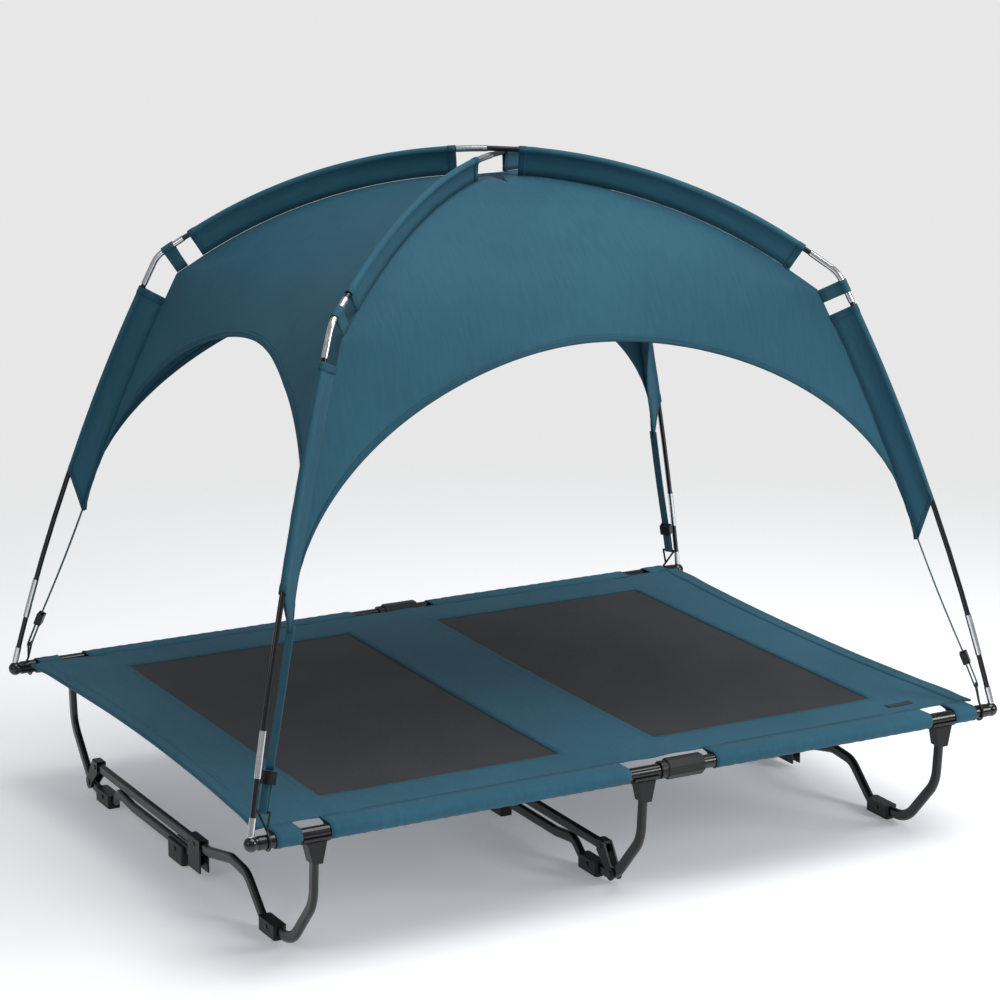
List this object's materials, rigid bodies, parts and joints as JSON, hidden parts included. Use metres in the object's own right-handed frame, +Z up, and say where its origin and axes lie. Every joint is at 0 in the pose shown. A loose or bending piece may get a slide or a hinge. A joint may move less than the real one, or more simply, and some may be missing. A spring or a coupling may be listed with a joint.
{
  "type": "raised dog bed with sunshade",
  "caption": "Raised folding dog bed: fabric and mesh deck on two rails, folding leg units, and a lift-off domed sunshade on crossed poles.",
  "frame": {"origin": "on the floor under the middle of the bed", "axes": "+X along the long rails, +Y to the rear long side, +Z up"},
  "size_m": [1.241, 0.929, 1.0347],
  "materials": {
    "rail_tube": "gloss black powder coat",
    "leg_tube": "gloss black powder coat",
    "bracket_steel": "satin black powder coat",
    "fixing_steel": "blackened steel",
    "bright_steel": "bright drawn steel",
    "pole_rod": "gloss black glass-fibre tube",
    "elastic_cord": "braided elastic cord",
    "black_plastic": "moulded satin black",
    "gloss_plastic": "moulded gloss black",
    "hook_wire": "black coated spring wire",
    "oxford_cloth": "coated plain weave, teal blue",
    "canopy_cloth": "coated fine plain weave, teal blue",
    "webbing": "woven teal webbing",
    "mesh": "coated charcoal mesh",
    "tab": "plain woven tab"
  },
  "bodies": {
    "bed": {"rail_front_left": "rail_tube", "rail_front_right": "rail_tube", "rail_rear_left": "rail_tube", "rail_rear_right": "rail_tube", "rail_spigots": "bright_steel", "rail_sockets": "black_plastic", "corner_knobs": "gloss_plastic", "bed_cover": "oxford_cloth", "mesh_panels": "mesh", "rail_sleeves": "oxford_cloth", "bed_tab": "tab"},
    "leg_left": {"leg_left_main_tube": "leg_tube", "leg_left_main_clip": "black_plastic", "leg_left_brackets": "bracket_steel", "leg_left_fixings": "fixing_steel", "leg_left_main_foot": "black_plastic"},
    "lever_left": {"leg_left_lever_tube": "leg_tube", "leg_left_lever_clip": "black_plastic", "leg_left_lever_blocks": "black_plastic"},
    "leg_middle": {"leg_middle_main_tube": "leg_tube", "leg_middle_main_clip": "black_plastic", "leg_middle_brackets": "bracket_steel", "leg_middle_fixings": "fixing_steel", "leg_middle_main_foot": "black_plastic"},
    "lever_middle": {"leg_middle_lever_tube": "leg_tube", "leg_middle_lever_clip": "black_plastic", "leg_middle_lever_blocks": "black_plastic"},
    "leg_right": {"leg_right_main_tube": "leg_tube", "leg_right_main_clip": "black_plastic", "leg_right_brackets": "bracket_steel", "leg_right_fixings": "fixing_steel", "leg_right_main_foot": "black_plastic"},
    "lever_right": {"leg_right_lever_tube": "leg_tube", "leg_right_lever_clip": "black_plastic", "leg_right_lever_blocks": "black_plastic"},
    "canopy": {"canopy_front": "canopy_cloth", "canopy_rear": "canopy_cloth", "canopy_left": "canopy_cloth", "canopy_right": "canopy_cloth", "pole_sleeves_upper": "canopy_cloth", "pole_sleeves_lower": "canopy_cloth", "elbow_loops": "webbing", "corner_straps": "webbing", "pole_over_rods": "pole_rod", "pole_under_rods": "pole_rod", "pole_ferrules": "bright_steel", "pole_elbows": "bright_steel", "pole_shock_cords": "elastic_cord"},
    "strap_front_left": {"strap_loop_front_left": "webbing", "strap_hook_front_left": "hook_wire"},
    "slider_front_left": {"strap_slider_front_left": "black_plastic"},
    "strap_front_right": {"strap_loop_front_right": "webbing", "strap_hook_front_right": "hook_wire"},
    "slider_front_right": {"strap_slider_front_right": "black_plastic"},
    "strap_rear_left": {"strap_loop_rear_left": "webbing", "strap_hook_rear_left": "hook_wire"},
    "slider_rear_left": {"strap_slider_rear_left": "black_plastic"},
    "strap_rear_right": {"strap_loop_rear_right": "webbing", "strap_hook_rear_right": "hook_wire"},
    "slider_rear_right": {"strap_slider_rear_right": "black_plastic"}
  },
  "joints": [
    {"name": "leg_left_fold", "type": "hinge", "parent": "bed", "child": "leg_left", "pos_m": [-0.517, -0.45, 0.195], "axis": [-1, 0, 0], "range_deg": [0, 45]},
    {"name": "lever_left_turn", "type": "hinge", "parent": "leg_left", "child": "lever_left", "pos_m": [-0.517, 0.36969, 0.01719], "axis": [1, 0, 0], "range_deg": [0, 45]},
    {"name": "leg_middle_fold", "type": "hinge", "parent": "bed", "child": "leg_middle", "pos_m": [0, 0.45, 0.195], "axis": [1, 0, 0], "range_deg": [0, 45]},
    {"name": "lever_middle_turn", "type": "hinge", "parent": "leg_middle", "child": "lever_middle", "pos_m": [0, -0.36969, 0.01719], "axis": [-1, 0, 0], "range_deg": [0, 45]},
    {"name": "leg_right_fold", "type": "hinge", "parent": "bed", "child": "leg_right", "pos_m": [0.517, -0.45, 0.195], "axis": [-1, 0, 0], "range_deg": [0, 45]},
    {"name": "lever_right_turn", "type": "hinge", "parent": "leg_right", "child": "lever_right", "pos_m": [0.517, 0.36969, 0.01719], "axis": [1, 0, 0], "range_deg": [0, 45]},
    {"name": "canopy_lift", "type": "slide", "parent": "bed", "child": "canopy", "axis": [0, 0, 1], "range_m": [0, 0.3]},
    {"name": "hook_front_left_swing", "type": "hinge", "parent": "bed", "child": "strap_front_left", "pos_m": [-0.587, -0.45, 0.195], "axis": [-1, 0, 0], "range_deg": [0, 35]},
    {"name": "slider_front_left_slide", "type": "slide", "parent": "strap_front_left", "child": "slider_front_left", "axis": [-0.2952, -0.2549, -0.9208], "range_m": [0, 0.014]},
    {"name": "hook_front_right_swing", "type": "hinge", "parent": "bed", "child": "strap_front_right", "pos_m": [0.587, -0.45, 0.195], "axis": [-1, 0, 0], "range_deg": [0, 35]},
    {"name": "slider_front_right_slide", "type": "slide", "parent": "strap_front_right", "child": "slider_front_right", "axis": [0.2952, -0.2549, -0.9208], "range_m": [0, 0.014]},
    {"name": "hook_rear_left_swing", "type": "hinge", "parent": "bed", "child": "strap_rear_left", "pos_m": [-0.587, 0.45, 0.195], "axis": [1, 0, 0], "range_deg": [0, 35]},
    {"name": "slider_rear_left_slide", "type": "slide", "parent": "strap_rear_left", "child": "slider_rear_left", "axis": [-0.2952, 0.2549, -0.9208], "range_m": [0, 0.014]},
    {"name": "hook_rear_right_swing", "type": "hinge", "parent": "bed", "child": "strap_rear_right", "pos_m": [0.587, 0.45, 0.195], "axis": [1, 0, 0], "range_deg": [0, 35]},
    {"name": "slider_rear_right_slide", "type": "slide", "parent": "strap_rear_right", "child": "slider_rear_right", "axis": [0.2952, 0.2549, -0.9208], "range_m": [0, 0.014]}
  ],
  "couplings": [
    {"joint": "lever_left_turn", "follows": "leg_left_fold", "ratio": 1},
    {"joint": "lever_middle_turn", "follows": "leg_middle_fold", "ratio": 1},
    {"joint": "lever_right_turn", "follows": "leg_right_fold", "ratio": 1}
  ]
}
